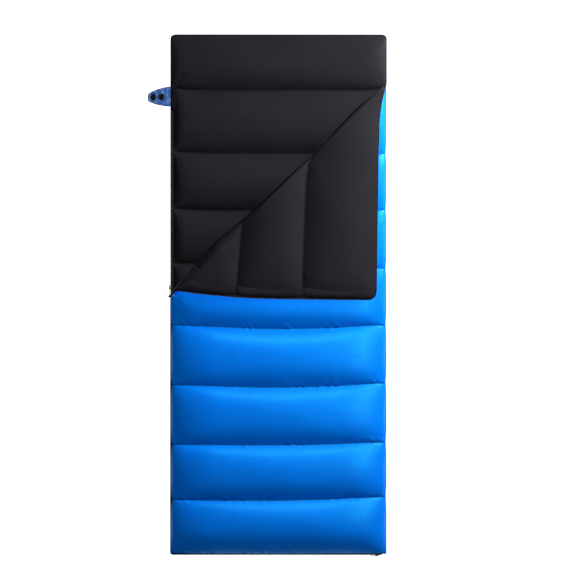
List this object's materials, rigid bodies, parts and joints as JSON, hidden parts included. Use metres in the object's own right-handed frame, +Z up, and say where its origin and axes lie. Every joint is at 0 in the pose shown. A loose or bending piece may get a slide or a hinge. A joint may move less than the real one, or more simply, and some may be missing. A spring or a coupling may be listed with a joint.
{
  "type": "rectangular sleeping bag",
  "caption": "Rectangular quilted sleeping bag, lying flat, with a zip along one side and the foot and the corner of its cover folded back over a diagonal to show the lining.",
  "frame": {"origin": "centre of the face the bag lies on, midway between foot edge and head edge and between zip side and side fold", "axes": "+Z up from the ground, +Y towards the head end, +X towards the sewn side fold; the zip is on the -X side"},
  "size_m": [0.9966, 2.1762, 0.153],
  "materials": {
    "outer_shell": "satin",
    "lining": "matte",
    "filling": "matte",
    "zip_tape": "matte",
    "zip_coil": "satin",
    "slider_metal": "satin",
    "tab_webbing": "matte",
    "snap_plastic": "gloss"
  },
  "bodies": {
    "back": {"back_shell": "outer_shell", "back_lining": "lining", "back_fill_1": "filling", "back_fill_2": "filling", "back_fill_3": "filling", "back_fill_4": "filling", "back_fill_5": "filling", "back_fill_6": "filling", "back_fill_7": "filling", "back_fill_8": "filling", "back_fill_9": "filling", "side_fold_back": "outer_shell", "zip_tape_back": "zip_tape", "zip_coil_back": "zip_coil", "zip_top_stop_back": "zip_coil", "zip_retainer_box": "zip_coil", "tab_root": "tab_webbing"},
    "cover": {"cover_shell": "outer_shell", "cover_lining": "lining", "cover_fill_1": "filling", "cover_fill_2": "filling", "cover_fill_3": "filling", "cover_fill_4": "filling", "cover_fill_5": "filling", "cover_fill_6": "filling", "cover_fill_7": "filling", "cover_fill_8": "filling", "side_fold_cover": "outer_shell", "zip_tape_cover": "zip_tape", "zip_coil_cover": "zip_coil", "zip_insertion_pin": "zip_coil", "draft_tube_cover": "lining"},
    "flap": {"flap_shell": "outer_shell", "flap_lining": "lining", "flap_fill_1": "filling", "flap_fill_2": "filling", "flap_fill_3": "filling", "zip_tape_flap": "zip_tape", "zip_coil_flap": "zip_coil", "zip_top_stop_flap": "zip_coil", "draft_tube_flap": "lining", "flap_snap_studs": "snap_plastic"},
    "side_slider": {"side_slider": "slider_metal"},
    "side_pull": {"side_slider_pull": "slider_metal"},
    "foot_slider": {"foot_slider": "slider_metal"},
    "foot_pull": {"foot_slider_pull": "slider_metal"},
    "tab_base": {"tab_base": "tab_webbing"},
    "tab_tip": {"tab_tip": "tab_webbing", "tab_snap_caps": "snap_plastic", "tab_snap_sockets": "snap_plastic"}
  },
  "joints": [
    {"name": "cover_open", "type": "hinge", "parent": "back", "child": "cover", "pos_m": [0.45, 0, 0.048], "axis": [0, 1, 0], "range_deg": [0, 130]},
    {"name": "corner_fold", "type": "hinge", "parent": "cover", "child": "flap", "pos_m": [-0.45, -0.015, 0.102], "axis": [-0.712, -0.7022, 0], "range_deg": [0, 179.5]},
    {"name": "side_zip", "type": "slide", "parent": "back", "child": "side_slider", "axis": [0, 1, 0], "range_m": [-1.03, 0.725]},
    {"name": "side_pull_flip", "type": "hinge", "parent": "side_slider", "child": "side_pull", "pos_m": [-0.4534, 0.028, 0.052], "axis": [0, 0, -1], "range_deg": [0, 170]},
    {"name": "foot_zip", "type": "slide", "parent": "back", "child": "foot_slider", "axis": [1, 0, 0], "range_m": [-0.8, 0]},
    {"name": "foot_pull_flip", "type": "hinge", "parent": "foot_slider", "child": "foot_pull", "pos_m": [0.411, -1.0884, 0.052], "axis": [0, 0, 1], "range_deg": [0, 170]},
    {"name": "tab_close", "type": "hinge", "parent": "back", "child": "tab_base", "pos_m": [-0.446, 0.822, 0.053], "axis": [0, 1, 0], "range_deg": [0, 116.52]},
    {"name": "tab_tip_close", "type": "hinge", "parent": "tab_base", "child": "tab_tip", "pos_m": [-0.47284, 0.822, 0.03961], "axis": [0, 1, 0], "range_deg": [0, 68]}
  ],
  "couplings": [
    {"joint": "tab_tip_close", "follows": "tab_close", "ratio": 0.58362}
  ]
}
